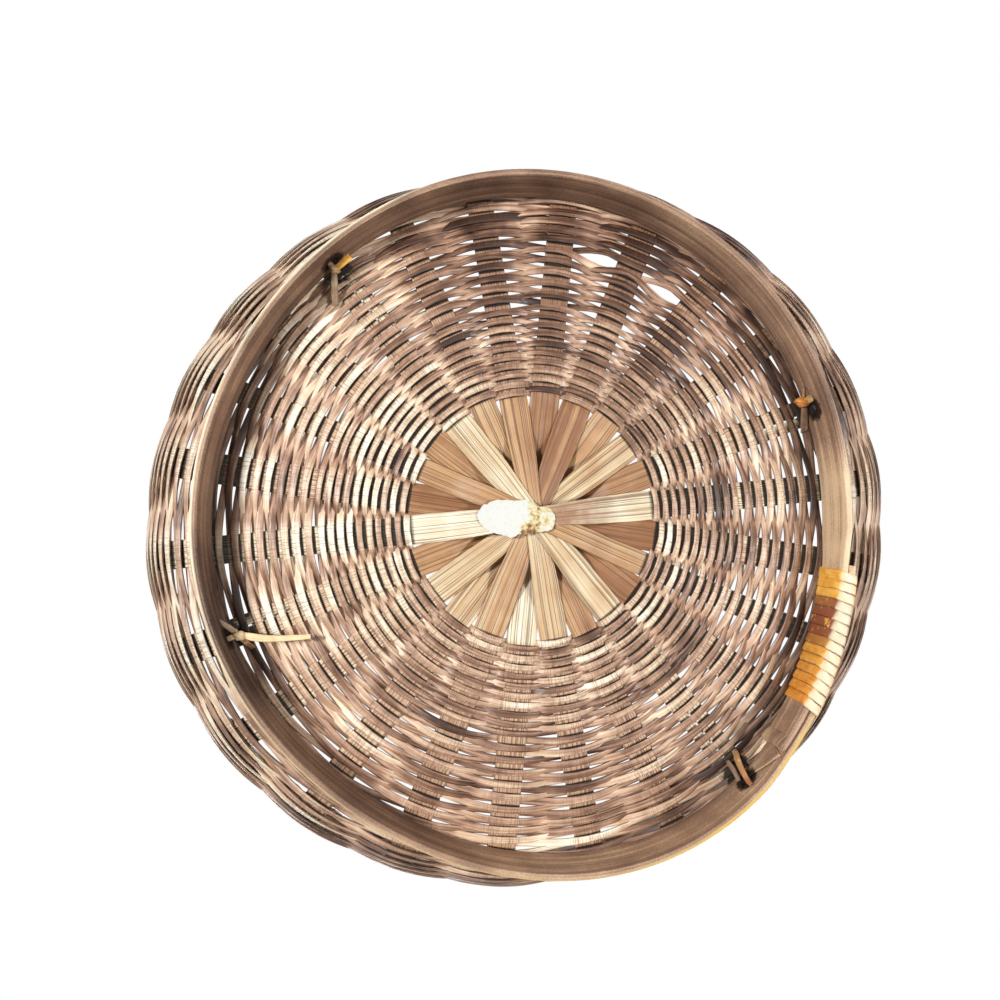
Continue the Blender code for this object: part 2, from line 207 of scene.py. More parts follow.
# Rim hoops and the cane round them
RIM_THICKNESS = 0.0022
RIM_CLEARANCE = 0.0003
LASHING_REACH = 0.0033
LASHING_OVER = 0.0005
LASHING_WIDTH = 0.003
LASHING_THICKNESS = 0.0008

# Paper label
LABEL_GAP = 0.0003
LABEL_THICKNESS = 0.0002
LABEL_CURL = 0.0003
LABEL_TEAR_MM = 0.09

FLOOR_HEIGHT = -0.0004
FLOOR_REACH = 3.0


def linear(code):
    """Scene-linear colour of a six-figure web colour."""
    parts = [int(code[i:i + 2], 16) / 255 for i in (0, 2, 4)]
    return tuple(p / 12.92 if p <= 0.04045 else ((p + 0.055) / 1.055) ** 2.4 for p in parts) + (1.0,)


def smooth(t):
    t = np.clip(t, 0.0, 1.0)
    return t * t * (3 - 2 * t)


def hump(value, start, end, soft):
    """1 between the start and the end and 0 outside, with soft shoulders of that length."""
    return smooth((value - start) / soft + 0.5) * smooth((end - value) / soft + 0.5)


def arc(degrees, start, end, soft):
    """A hump between two directions, of which the first may be below 0."""
    middle = (start + end) / 2
    return hump((degrees - middle + 180) % 360 - 180, start - middle, end - middle, soft)


def patch_sum(patches, degrees, s=0.0):
    """Sum of the patches' values in a direction and, where they name rows, at a place s."""
    total = 0.0
    for value, directions, *rows in patches:
        share = arc(degrees, *directions)
        for ends in rows:
            share = share * hump(s / MM, *ends)
        total = total + value * share
    return total


def unit(vectors):
    return vectors / np.linalg.norm(vectors, axis=-1, keepdims=True)


def add(tree, kind, inputs=None, **settings):
    """A shader node with its settings, and its inputs given as values, web colours or sockets."""
    made = tree.nodes.new("ShaderNode" + kind)
    for key, value in settings.items():
        setattr(made, key, value)
    for key, value in (inputs or {}).items():
        if isinstance(value, bpy.types.NodeSocket):
            tree.links.new(value, made.inputs[key])
        else:
            made.inputs[key].default_value = linear(value) if isinstance(value, str) else value
    return made


def maths(tree, operation, a, b, clamp=False):
    return add(tree, "Math", {0: a, 1: b}, operation=operation, use_clamp=clamp).outputs[0]


def ramp(tree, factor, *stops):
    """Colour ramp through (position, web colour) stops."""
    made = add(tree, "ValToRGB", {"Fac": factor})
    elements = made.color_ramp.elements
    while len(elements) < len(stops):
        elements.new(0.5)
    for element, (position, code) in zip(elements, stops):
        element.position = position
        element.color = linear(code)
    return made.outputs["Color"]


def blend(tree, factor, a, b, kind="MIX"):
    return add(tree, "Mix", {0: factor, 6: a, 7: b}, data_type="RGBA", blend_type=kind).outputs[2]


def between(tree, value, low, high, to_low=0.0, to_high=1.0):
    return add(tree, "MapRange", {"Value": value, "From Min": low, "From Max": high,
                                  "To Min": to_low, "To Max": to_high}).outputs["Result"]


def spread(tree, noise, low, high):
    """The usual range of a noise, stretched from low to high."""
    return between(tree, noise, 0.3, 0.7, low, high)


def swayed(tree, tone, *noises):
    """The tone, moved up and down by each noise as far as its reach."""
    for noise, reach in noises:
        tone = maths(tree, "ADD", tone, spread(tree, noise, -reach, reach))
    return tone


def mark(tree, name):
    return add(tree, "Attribute", attribute_name=name).outputs["Fac"]


def marked(tree, name, amount):
    """The amount where a strip has this mark, kept between 0 and 1."""
    return maths(tree, "MULTIPLY", mark(tree, name), amount, True)


def dulled(tree, roughness, grime):
    """The roughness, raised where shade is painted."""
    return maths(tree, "ADD", roughness, maths(tree, "MULTIPLY", grime, 0.5))


def streaks(tree, length, width, detail=2.0):
    """Noise drawn out along a strip: its features are about so long and so wide, in mm."""
    place = add(tree, "UVMap", uv_map="Strip").outputs["UV"]
    scale = (1 / (length * MM), 1 / (width * MM), 1)
    drawn = add(tree, "Mapping", {"Vector": place, "Scale": scale}).outputs[0]
    return add(tree, "TexNoise", {"Vector": drawn, "Scale": 1.0, "Detail": detail}).outputs["Fac"]


def blotches(tree, size, detail=3.0):
    """Noise with features of about this size in mm."""
    noise = {"Vector": add(tree, "TexCoord").outputs["Object"], "Scale": 1 / (size * MM), "Detail": detail}
    return add(tree, "TexNoise", noise).outputs["Fac"]


def around_holes(tree, reach):
    """Painted shade round the holes of the ties: nearly 1 at the holes and 0 beyond the reach, with a
    ragged edge.
    """
    place = add(tree, "TexCoord").outputs["Object"]
    distances = [add(tree, "VectorMath", {0: place, 1: tie_hole(stake)}, operation="DISTANCE")
                 for stake in TIE_STAKES]
    nearest = distances[0].outputs["Value"]
    for distance in distances[1:]:
        nearest = maths(tree, "MINIMUM", distance.outputs["Value"], nearest)
    ragged = swayed(tree, nearest, (blotches(tree, 1.6), GLOOM_RAG))
    return between(tree, ragged, reach - GLOOM_RAG, reach + GLOOM_RAG, 0.96, 0.0)


def new_material(name):
    made = bpy.data.materials.new(name)
    made.use_nodes = True
    return made, made.node_tree, made.node_tree.nodes["Principled BSDF"]


def finish(name, specular, colour_and_relief):
    """A material: its wiring function returns colour, roughness, relief height and depth in mm."""
    made, tree, shader = new_material(name)
    shader.inputs["Specular IOR Level"].default_value = specular
    colour, roughness, height, depth = colour_and_relief(tree)
    bump = add(tree, "Bump", {"Height": height, "Strength": 0.9, "Distance": depth * MM})
    for name, socket in (("Base Color", colour), ("Roughness", roughness), ("Normal", bump.outputs[0])):
        tree.links.new(socket, shader.inputs[name])
    return made


def weaver_wiring(tree):
    fibres = streaks(tree, 9, 0.30)
    bands = streaks(tree, 34, 1.1, 1.0)
    cracks = between(tree, streaks(tree, 0.30, 6, 1.0), 0.36, 0.52, 0.5, 0.0)
    tone = swayed(tree, mark(tree, "tone"), (fibres, 0.11), (bands, 0.17), (blotches(tree, 9), 0.14))
    colour = ramp(tree, tone, (0.0, "3A251C"), (0.25, "82604C"), (0.5, "BF9A80"),
                  (0.74, "E6CBAC"), (1.0, "FCF3DE"))
    colour = blend(tree, marked(tree, "floating", cracks), colour, "5E4131")
    # Painted shade, near black: the crevices, the foot hoop's shadow and the shade round the tie holes
    grime = maths(tree, "MAXIMUM", marked(tree, "grime", 0.9), around_holes(tree, GLOOM_ON_WEAVE))
    colour = blend(tree, grime, colour, "150C08")
    return colour, dulled(tree, spread(tree, fibres, 0.26, 0.38), grime), fibres, 0.16


def splint_wiring(tree):
    lines = streaks(tree, 110, 0.30)
    wide = streaks(tree, 160, 1.3, 1.0)
    fibres = streaks(tree, 20, 0.16)
    cracks = between(tree, streaks(tree, 60, 0.26, 1.0), 0.36, 0.50, 0.7, 0.0)
    patches = between(tree, blotches(tree, 5), 0.35, 0.6, 0.5, 1.0)
    tone = swayed(tree, mark(tree, "tone"), (wide, 0.13), (blotches(tree, 12), 0.12))
    colour = ramp(tree, tone, (0.0, "F0E8D2"), (0.35, "D3BD9B"), (0.65, "B8906A"), (1.0, "865B3C"))
    woven = ramp(tree, tone, (0.0, "FBF0D2"), (0.5, "CFAA8C"), (1.0, "8E6A54"))
    colour = blend(tree, mark(tree, "woven"), colour, woven)
    colour = blend(tree, between(tree, lines, 0.40, 0.50, 0.75, 0.0), colour, "54341F")
    colour = blend(tree, marked(tree, "woven", cracks), colour, "5E4131")
    colour = blend(tree, spread(tree, fibres, 0.0, 0.45), colour, "EFE2C0", "SOFT_LIGHT")
    colour = blend(tree, marked(tree, "stain", patches), colour, "94664C")
    # Painted shade, near black: the crevices beside the floats, the foot hoop's shadow and the shade round
    # the tie holes
    grime = maths(tree, "MAXIMUM", marked(tree, "grime", spread(tree, fibres, 1.0, 0.9)),
                  around_holes(tree, GLOOM_ON_WEAVE))
    colour = blend(tree, grime, colour, "140B07")
    height = maths(tree, "ADD", lines, maths(tree, "MULTIPLY", fibres, 0.35))
    return colour, dulled(tree, spread(tree, fibres, 0.32, 0.50), grime), height, 0.25


def hoop_wiring(tree):
    lines = streaks(tree, 60, 0.5)
    wide = streaks(tree, 150, 2.8)
    pores = blotches(tree, 0.7, 2.0)
    worn = between(tree, streaks(tree, 12, 0.8), 0.25, 0.5, 0.5, 1.0)
    tone = swayed(tree, mark(tree, "tone"), (wide, 0.15), (lines, 0.15), (blotches(tree, 16), 0.14),
                  (pores, 0.08))
    colour = ramp(tree, tone, (0.0, "3C2C26"), (0.4, "866A58"), (0.65, "AF8E75"), (1.0, "EACDA8"))
    pale = blend(tree, mark(tree, "gold"), "E9DDBF", "D8B35E")
    colour = blend(tree, marked(tree, "edge", worn), colour, pale)
    # Painted shade round the tie holes
    colour = blend(tree, around_holes(tree, GLOOM_ON_HOOP), colour, "150C08")
    return colour, spread(tree, lines, 0.42, 0.60), lines, 0.18


def cane_wiring(tree):
    """Golden cane. The marks turn it orange, fleck it brown, and make its edge pale or it grey."""
    fibres = streaks(tree, 14, 0.30)
    patches = blotches(tree, 2.6, 4.0)
    tone = swayed(tree, spread(tree, fibres, 0.25, 0.75), (patches, 0.25))
    colour = ramp(tree, tone, (0.0, "D2832C"), (0.5, "FFBE4C"), (1.0, "FFDF88"))
    orange = ramp(tree, tone, (0.0, "C06A22"), (0.5, "F09A3C"), (1.0, "FFC070"))
    colour = blend(tree, mark(tree, "orange"), colour, orange)
    flecks = marked(tree, "stain", between(tree, patches, 0.68, 0.60))
    colour = blend(tree, flecks, colour, "9A5A3E")
    pale = ramp(tree, tone, (0.0, "DAC79E"), (1.0, "F0E8CE"))
    colour = blend(tree, mark(tree, "edge"), colour, pale)
    grey = ramp(tree, tone, (0.0, "4C3D33"), (0.5, "857461"), (1.0, "B9A88C"))
    colour = blend(tree, mark(tree, "grey"), colour, grey)
    return colour, spread(tree, fibres, 0.30, 0.48), fibres, 0.14


def paper_wiring(tree):
    worn = swayed(tree, mark(tree, "worn"), (blotches(tree, 1.5, 5.0), 0.42))
    colour = ramp(tree, worn, (0.0, "DBDBD6"), (0.40, "D8D4C4"), (0.60, "D6C894"), (0.82, "B99A6C"),
                  (1.0, "7E5C44"))
    fibres = blotches(tree, 0.5, 5.0)
    return colour, spread(tree, fibres, 0.7, 0.9), fibres, 0.06


def stake_angle(number):
    along = STAKE_PHASE + number * STEP - SQUEEZE_ANGLE
    turned = math.atan2(math.sin(along), SQUEEZE * math.cos(along))
    whole_turns = round((along - turned) / math.tau)
    return SQUEEZE_ANGLE + turned + whole_turns * math.tau


STAKE_ANGLES = np.array([stake_angle(i) for i in range(STAKES + 1)])


def meridian(s):
    """Radius and height of the weave's middle surface at length s from the centre, and its
    normal towards the inside of the basket."""
    s = np.asarray(s, float)
    turned = np.clip((s - BASE_RADIUS) / TURN_RADIUS, 0, WALL_ANGLE)
    straight = np.maximum(s - BASE_RADIUS - TURN_LENGTH, 0)
    radius = np.minimum(s, BASE_RADIUS) + TURN_RADIUS * np.sin(turned) + straight * math.cos(WALL_ANGLE)
    height = BASE_HEIGHT + TURN_RADIUS * (1 - np.cos(turned)) + straight * math.sin(WALL_ANGLE)
    return radius, height, -np.sin(turned), np.cos(turned)


def polar(radius, angle, height):
    radius, angle, height = np.broadcast_arrays(radius, angle, height)
    return np.stack([radius * np.cos(angle), radius * np.sin(angle), height], axis=-1)


def on_weave(s, angle, lift):
    """Points lifted from the weave's middle surface towards the inside, and the normals."""
    radius, height, normal_r, normal_z = meridian(s)
    share = np.clip((radius - BASE_RADIUS + FOOT_BAND) / FOOT_BAND, 0, 1)
    radius = radius + share * OVAL * np.cos(2 * (angle - OVAL_ANGLE))
    points = polar(radius + normal_r * lift, angle, height + normal_z * lift)
    return points, polar(normal_r, angle, normal_z)


def wound(turns, power_across, power_high):
    """Cosine and sine of the turns. Power 2 makes a circle, and higher powers square it up."""
    c, s = np.cos(turns), np.sin(turns)
    return np.sign(c) * np.abs(c) ** (2 / power_across), np.sign(s) * np.abs(s) ** (2 / power_high)


def oval(points, power):
    return np.stack(wound(np.arange(points) * math.tau / points, power, power), axis=-1)


def slab():
    """Soft rectangle with extra points along its short sides, for marks that run there."""
    power = 9.0
    short = [((1 - y ** power) ** (1 / power), y) for y in (0.0, 0.3, 0.55, 0.75, 0.88)]
    long = [(x, (1 - x ** power) ** (1 / power)) for x in (0.93, 0.6, 0.0)]
    quarter = np.array(short + long)
    half = np.concatenate([quarter, quarter[-2::-1] * (-1, 1)])
    return np.concatenate([half, half[1:-1] * -1])


STRAND = oval(10, 3.4)
FLAT = oval(16, 7.0)
SLAB = slab()
BAND = oval(12, 3.6)


def path_directions(centres, closed):
    if closed:
        return unit(np.roll(centres, -1, axis=0) - np.roll(centres, 1, axis=0))
    return unit(np.gradient(centres, axis=0))


def through(points, per_span):
    """Rows of a smooth path through the given rows."""
    points = np.asarray(points, float)
    first, last = 2 * points[:1] - points[1:2], 2 * points[-1:] - points[-2:-1]
    padded = np.concatenate([first, points, last])
    t = (np.arange(per_span) / per_span)[:, None]
    spans = []
    for a, b, c, d in zip(padded, padded[1:], padded[2:], padded[3:]):
        spans.append(0.5 * (2 * b + (c - a) * t + (2 * a - 5 * b + 4 * c - d) * t ** 2
                            + (3 * b - a - 3 * c + d) * t ** 3))
    return np.concatenate(spans + [points[-1:]])


def lengths(points):
    """Lengths round a closed row of points, from 0 at the first to the first again."""
    steps = np.linalg.norm(np.roll(points, -1, axis=0) - points, axis=1)
    return np.concatenate([[0.0], np.cumsum(steps)])


class Strips:
    """Strips swept along paths, gathered into the one mesh of a piece."""

    MAP_ROW_PITCH = 1.08
    MAP_MARGIN = 1.02

    def __init__(self):
        self.vertices, self.faces, self.corners, self.bake = [], [], [], []
        self.marks = {}
        self.count, self.length, self.girth = 0, 0.0, 0.0

    def sweep(self, centres, ups, half_width, half_thickness, outline, closed=False, **marks):
        """Sweeps an outline along the centres. Ups is its thickness direction. Marks are shading
        values: one for the strip, one for each centre or point, or a function of the points."""
        forward = path_directions(centres, closed)
        sides = unit(np.cross(ups, forward))
        ups = unit(np.cross(forward, sides))
        size = np.stack(np.broadcast_arrays(half_width, half_thickness), axis=-1)
        size = np.broadcast_to(size, (len(centres), 2))
        section = outline * size[:, None]
        points = centres[:, None] + sides[:, None] * section[..., :1] + ups[:, None] * section[..., 1:]
        stations, around = len(centres), len(outline)
        spans = stations if closed else stations - 1
        along, across = lengths(centres), lengths(section[stations // 2])
        here = np.repeat(np.arange(spans), around)
        ahead = (here + 1) % stations
        k = np.tile(np.arange(around), spans)
        m = (k + 1) % around
        quads = np.stack([here * around + k, here * around + m, ahead * around + m, ahead * around + k],
                         axis=-1)
        self.faces += (quads + self.count).tolist()
        u0, u1, v0, v1 = along[here], along[here + 1], across[k], across[k + 1]
        corners = np.stack([u0, v0, u0, v1, u1, v1, u1, v0], axis=-1).reshape(-1, 2)
        if not closed:
            last = (stations - 1) * around
            self.faces.append([self.count + i for i in reversed(range(around))])
            self.faces.append([self.count + last + i for i in range(around)])
            corners = np.concatenate([corners, np.repeat(corners[[0, -1]], around, axis=0)])
        self.corners.append(corners + (RNG.uniform(0, 40), 0))
        self.bake.append(corners + (self.length, 0))
        self.vertices.append(points.reshape(-1, 3))
        for name, value in marks.items():
            value = np.asarray(value(points) if callable(value) else value, float)
            value = value[:, None] if value.ndim == 1 else value
            value = np.broadcast_to(value, (stations, around)).reshape(-1)
            self.marks.setdefault(name, []).append((self.count, value))
        self.count += stations * around
        self.length += along[spans]
        self.girth = max(self.girth, across[-1])

    def bake_corners(self):
        """Lays the strips out as rows that fill a square map."""
        flat = np.concatenate(self.bake)
        row_height = self.girth * self.MAP_ROW_PITCH
        width = math.sqrt(self.length * row_height)
        row = np.floor(np.repeat(flat[::4, 0], 4) / width)
        rows = row.max() + 1
        u = (flat[:, 0] - row * width) / (width * self.MAP_MARGIN)
        v = (flat[:, 1] + row * row_height) / (rows * row_height)
        return np.clip(np.stack([u, v], axis=-1), 0, 1)

    def make(self, name, material, slot, *nodes):
        mesh = bpy.data.meshes.new(name)
        mesh.from_pydata(np.concatenate(self.vertices).tolist(), [], self.faces)
        mesh.shade_smooth()
        for layer, corners in (("OFBake", self.bake_corners()), ("Strip", np.concatenate(self.corners))):
            uv = mesh.uv_layers.new(name=layer)
            uv.uv.foreach_set("vector", corners.astype(np.float32).reshape(-1))
        for label, parts in self.marks.items():
            values = np.zeros(self.count, np.float32)
            for first, value in parts:
                values[first:first + len(value)] = value
            mesh.attributes.new(label, "FLOAT", "POINT").data.foreach_set("value", values)
        mesh.materials.append(material)
        return dress(mesh, slot, *nodes)

    def make_cane(self, node):
        self.make(f"{node}_cane", CANE, "cane", node)


def linked(name, data):
    """A new object in the scene."""
    made = bpy.data.objects.new(name, data)
    bpy.context.scene.collection.objects.link(made)
    return made


def dress(mesh, slot, *nodes):
    """Puts a piece with this mesh on the basket's one body, in place of the frame's nodes."""
    piece = linked(mesh.name, mesh)
    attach(piece, "root")
    if nodes:
        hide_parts(*nodes)
    return piece


def cut_away(piece, shapes):
    """Cuts boxes and short rods out of a piece: each shape is (sides, place, x, y, z size)."""
    mesh = bpy.data.meshes.new("cutter")
    form = bmesh.new()
    for sides, place, size in shapes:
        matrix = place @ Matrix.Diagonal((*size, 1.0))
        if sides == 4:
            bmesh.ops.create_cube(form, size=1.0, matrix=matrix)
        else:
            bmesh.ops.create_cone(form, cap_ends=True, segments=sides, radius1=0.5, radius2=0.5,
                                  depth=1.0, matrix=matrix)
    form.to_mesh(mesh)
    form.free()
    cutter = linked("cutter", mesh)
    boolean = piece.modifiers.new("cut", "BOOLEAN")
    boolean.operation = "DIFFERENCE"
    boolean.solver = "EXACT"
    boolean.object = cutter
    evaluated = piece.evaluated_get(bpy.context.evaluated_depsgraph_get())
    cut_mesh = bpy.data.meshes.new_from_object(evaluated)
    piece.modifiers.clear()
    old = piece.data
    piece.data = cut_mesh
    cut_mesh.name = piece.name
    bpy.data.meshes.remove(old)
    bpy.data.objects.remove(cutter)
    bpy.data.meshes.remove(mesh)


def row_places():
    """Length from the centre at which each weave row runs."""
    rows = list(FIRST_ROW + FINE_PITCH * np.arange(FINE_ROWS))
    place = rows[-1] + COARSE_PITCH + ROW_STEP_OUT
    while place < WALL_TOP - LAST_ROW_UNDER_TOP:
        rows.append(place)
        on_wall = float(smooth((place - WALL_PITCH_FROM + WALL_PITCH_EASE / 2) / WALL_PITCH_EASE))
        place += COARSE_PITCH + (WALL_PITCH - COARSE_PITCH) * on_wall
    return np.array(rows)


def parted(s, angles):
    """How far the rows beside a long gap are pushed apart."""
    push = 0.0
    for place, stake in OPEN_GAPS:
        first, last = STAKE_ANGLES[stake:stake + 2]
        near = smooth(1.1 * (1 - np.abs(2 * angles - first - last) / (last - first)))
        push += GAP_OPENING * near * np.sign(s - place) * np.exp(-abs(s - place) / GAP_FADE)
    return push


def beside_hoop(s, degrees):
    """Painted shadow of the foot hoop on the weave just inside it: how dark, most at the left, less at the
    right.
    """
    near = smooth((s - HOOP_SHADE_FROM) / 0.003) * (1 - smooth((s - HOOP_SHADE_TO) / 0.002))
    return near * patch_sum(HOOP_SHADE, degrees)


def row_sections(place):
    """Where a row has its sections from one stake's centre, 0, to the next one's, 1, and how far
    it has crossed over to the stakes' other side there."""
    on_stake = min(HALF_STAKE / float(meridian(place)[0]) / STEP, 0.43)
    off_stake = 1 - 2 * on_stake
    first = on_stake * np.array((0.0, 0.55, 0.98))
    crossing = on_stake + off_stake * np.linspace(0.0, 1.0, 9)[1:-1]
    shares = np.concatenate([first, crossing, 1 - first[:0:-1]])
    return shares, smooth((shares - on_stake) / off_stake)


def eased_nudges(shares):
    """Three random values for each stake, eased from stake to stake at a row's sections."""
    at_stakes = RNG.normal(0, 1, (3, STAKES))[:, :, None]
    ahead = smooth(shares)
    return (at_stakes * (1 - ahead) + np.roll(at_stakes, -1, axis=1) * ahead).reshape(3, -1)


def weave_row(strips, number, place):
    """One weaver all the way round: outside the even stakes and inside the odd ones, or the
    other way about. Its outside passes lie further out than its inside ones."""
    shares, crossed = row_sections(place)
    angles = (STAKE_ANGLES[:-1, None] + np.diff(STAKE_ANGLES)[:, None] * shares).reshape(-1)
    degrees = np.degrees(angles)
    side = np.where((np.arange(STAKES) + number) % 2 == 0, 1.0, -1.0)[:, None]
    wave = (side * (1 - 2 * crossed)).reshape(-1)
    zigzag = (side * np.cos(math.pi * shares)).reshape(-1)
    descent = (side * np.sin(math.pi * shares)).reshape(-1)
    sway, swell, lean = eased_nudges(shares)
    near_hoop = hump(place / MM, *NEAR_HOOP)
    dense = arc(degrees, *DENSE_SIDE) * near_hoop
    loose = arc(degrees, *LOOSE_SIDE) * near_hoop
    on_wall = float(smooth((place - WALL_PITCH_FROM) / WALL_PITCH_EASE))
    width = FINE_WIDTH if place < FINE_TO else COARSE_WIDTH + (WALL_WIDTH - COARSE_WIDTH) * on_wall

    apart = 0.9 + 0.1 * np.cos(angles) + patch_sum(WIDE_ZIGZAG, degrees, place)
    shift = width * ZIGZAG * (1 - 0.5 * dense) * apart
    s = place + shift * zigzag + parted(place, angles) + sway * WANDER + RNG.normal(0, ROW_ERROR)
    lift = -WEAVE_OFFSET * wave * (1 + LIFT_SPREAD * swell) - FLOAT_BOW * np.maximum(zigzag, 0) ** 8
    centres, normals = on_weave(s, angles, lift)
    across = unit(np.cross(normals, path_directions(centres, True)))
    roll = (ROLL * (1 + ROLL_SPREAD * lean) + TWIST * descent)[:, None]
    normals = normals * np.cos(roll) + across * np.sin(roll)
    width = width * (1.0 + 0.06 * np.abs(descent)) * (1 + WIDTH_SPREAD * lean)
    width = width * (1 + 0.15 * dense - 0.06 * loose) * RNG.normal(1, ROW_WIDTH_SPREAD)

    floating = smooth((wave - 0.8) / 0.2)
    # Painted shadow of the foot hoop: it darkens the tone and adds to the painted shade of the underside
    shaded = beside_hoop(place, degrees)
    tone = 0.5 + ROW_TONE_SPREAD * RNG.normal() + TONE_SPREAD * swell - 0.12 * dense - 0.28 * shaded
    # Painted highlight on the floats at the left; they are darker at the top
    tone = tone + patch_sum(ROW_TONES, degrees, place) + floating * patch_sum(FLOAT_TONES, degrees)
    tone = tone - 0.08 * hump(place / MM, *MIDDLE_ROWS) * np.abs(np.sin(angles))
    # Painted shade along each strand's inner edge, and the hoop's painted shadow on the underside only
    inner_edge = smooth((STRAND[None, :, 0] - 0.9) / 0.1)
    underside = STRAND[None, :, 1] < 0.5
    strips.sweep(centres, normals, width / 2, WEAVER_THICKNESS / 2, STRAND, closed=True, tone=tone,
                 floating=floating, grime=np.maximum(inner_edge, 0.5 * shaded[:, None] * underside))


def make_weave():
    places = row_places()
    names = [("base", i + 1) for i in range(BASE_BANDS)] + [("wall", i + 1) for i in range(WALL_BANDS)]
    for (part, count), start, end in zip(names, BAND_KNOTS, BAND_KNOTS[1:]):
        strips = Strips()
        for number, place in enumerate(places):
            if start <= place < end:
                weave_row(strips, number, place)
        strips.make(f"{part}_rows_{count:02d}", WEAVER, "weaver", f"{part}_weave_{count:02d}")


def splint_lift(splint, s):
    """How far a splint lies from the weave's middle: stacked at the centre of the star, in two
    layers at its edge, and in the middle of the weave beyond it."""
    lower = splint % 2 == 0
    sign = -1 if lower else 1
    order = splint // 2
    share = SPLINTS // 2 - 1 - order if lower else order
    stacked = sign * (LEVEL / 2 + share * LEVEL)
    layered = sign * LEVEL / 2
    even = np.arange(-0.06, 0.06, 0.0005)
    lift = np.interp(np.abs(even), (0.0, STACKED_TO, SPLAYED_AT, STAR_EDGE, STAR_RADIUS),
                     (stacked, stacked, layered, layered, 0.0))
    lift = np.interp(s, even, np.convolve(lift, np.ones(5) / 5, mode="same"))
    lift[s > 0.055] = 0.0
    return lift


def crevices(s, angle, floats):
    """How dark the painted shade is on a stake beside the inner edges of the rows that float over it: the
    shaded crevice is painted wider at the left and right, and narrower where the eye sees over the float's
    edge."""
    reach = CREVICE_WIDTH * (0.25 + 0.75 * math.cos(angle - 10 * DEG) ** 2)
    reach = reach * (1 + 0.5 * smooth((0.066 - s) / 0.012))
    reach = reach - FLOAT_RISE * (s + EYE_OFFSET * math.cos(angle)) / EYE_DISTANCE
    edges = floats + 0.0001 - 0.47 * np.where(floats < FINE_TO, FINE_WIDTH, COARSE_WIDTH)
    inward = edges[:, None] - s
    dark = np.max(smooth(inward / 0.0003 + 4.0) * smooth((reach - inward) / 0.0002 + 0.5), axis=0)
    return dark * smooth((s - STAR_EDGE) / 0.004)


def splint_half(splint, far):
    """Path, width and marks along one half of a splint, from the centre to the tip."""
    sections = [np.arange(start, end, step)
                for (start, step), (end, _) in zip(SPLINT_SECTIONS, SPLINT_SECTIONS[1:])]
    s = np.concatenate(sections + [[RIM_TOP]])
    stake = splint + (SPLINTS if far else 0)
    angle = STAKE_ANGLES[stake]
    degrees = math.degrees(angle)
    width = WAIST + (SPLINT_WIDTHS[splint] - WAIST) * smooth(s / WAIST_REACH)
    width = width * (1 + 0.07 * hump(s, 0.032, 0.046, 0.012))
    star_tone = FAR_HALF_TONES.get(splint, SPLINT_TONES[splint]) if far else SPLINT_TONES[splint]
    # Woven stakes are painted paler at the left and right, a painted highlight, and are browner at the top
    # and bottom
    waves = 0.16 * math.cos(angle - 280 * DEG) - 0.22 * math.cos(2 * (angle - 8 * DEG))
    woven_tone = 0.5 + 0.35 * (star_tone - 0.5) + waves + 0.16 * arc(degrees, 55, 128, 30)
    woven = smooth((s - STAR_RADIUS + 0.001) / 0.004)
    tone = star_tone + (woven_tone - star_tone) * woven
    # Painted shade: the crevices beside the floats and the foot hoop's painted shadow
    grime = np.maximum(crevices(s, angle, row_places()[stake % 2::2]), 0.9 * beside_hoop(s, degrees))
    centres, normals = on_weave(s, angle, splint_lift(splint, s))
    return centres, normals, width, tone, woven, grime


def facing(point, stake):
    """Matrix of a shape at a point, turned along a stake."""
    return Matrix.Translation(Vector(point)) @ Matrix.Rotation(STAKE_ANGLES[stake], 4, "Z")


def tie_slit(stake):
    """Box for the slit where a tie passes through a stake."""
    angle = STAKE_ANGLES[stake] + SLIT_ASIDE / SLIT_START
    middle = polar(SLIT_START + SLIT_LENGTH / 2, angle, BASE_HEIGHT)
    return 4, facing(middle.tolist(), stake), (SLIT_LENGTH, SLIT_WIDTH, 0.003)


def make_splints():
    for splint in range(SPLINTS):
        halves = zip(splint_half(splint, False), splint_half(splint, True))
        centres, normals, width, tone, woven, grime = [np.concatenate([a[:0:-1], b[1:]]) for a, b in halves]
        stain = 0.0
        if splint == 0:
            x = centres[:, 0]
            stain = 0.85 * smooth((x - 0.002) / 0.006) * smooth((0.030 - x) / 0.016)
        strips = Strips()
        # The painted shade goes on the splint's outer face only
        strips.sweep(centres, normals, width / 2, SPLINT_THICKNESS / 2, FLAT, tone=tone, stain=stain,
                     woven=woven, grime=grime[:, None] * (FLAT[None, :, 1] < 0))
        slot = "brown_splint" if splint % 2 else "pale_splint"
        piece = strips.make(f"splint_strip_{splint + 1:02d}", SPLINT, slot, f"splint_{splint + 1:02d}")
        slits = [tie_slit(stake) for stake in TIE_STAKES if stake % SPLINTS == splint]
        if slits:
            cut_away(piece, slits)


def hoop_outer(sweep):
    """Outer radius of the hoop's strip, with the sweep from its outer end."""
    angle = HOOP_START + sweep
    swell = sum(size * np.cos(times * (angle - peak)) for times, size, peak in HOOP_SWELLS)
    outward = HOOP_OUTWARD_SHARE * (1 - smooth((sweep - HOOP_LAP) / HOOP_EASE))
    inward = (1 - HOOP_OUTWARD_SHARE) * smooth((sweep - math.tau) / HOOP_EASE + 1)
    return HOOP_RADIUS + swell + (outward - inward) * HOOP_STEP


def hoop_sweep(angle):
    """Sweep at which the hoop's strip passes a direction first."""
    return (angle - HOOP_START) % math.tau


def tie_hole(stake):
    """Where a tie passes through the hoop."""
    angle = STAKE_ANGLES[stake]
    wall = float(hoop_outer(hoop_sweep(angle))) - HOOP_THICKNESS / 2
    return tuple(polar(wall, angle, TIE_HOLE_HEIGHT).tolist())


def hoop_tone(angle):
    # Painted light and shade: the cosine makes the hoop lighter towards the right and darker towards the
    # left; HOOP_TONES add their patches
    waves = 0.10 * np.cos(angle - 10 * DEG) + 0.05 * np.sin(5 * angle)
    return 0.46 + waves + patch_sum(HOOP_TONES, np.degrees(angle))


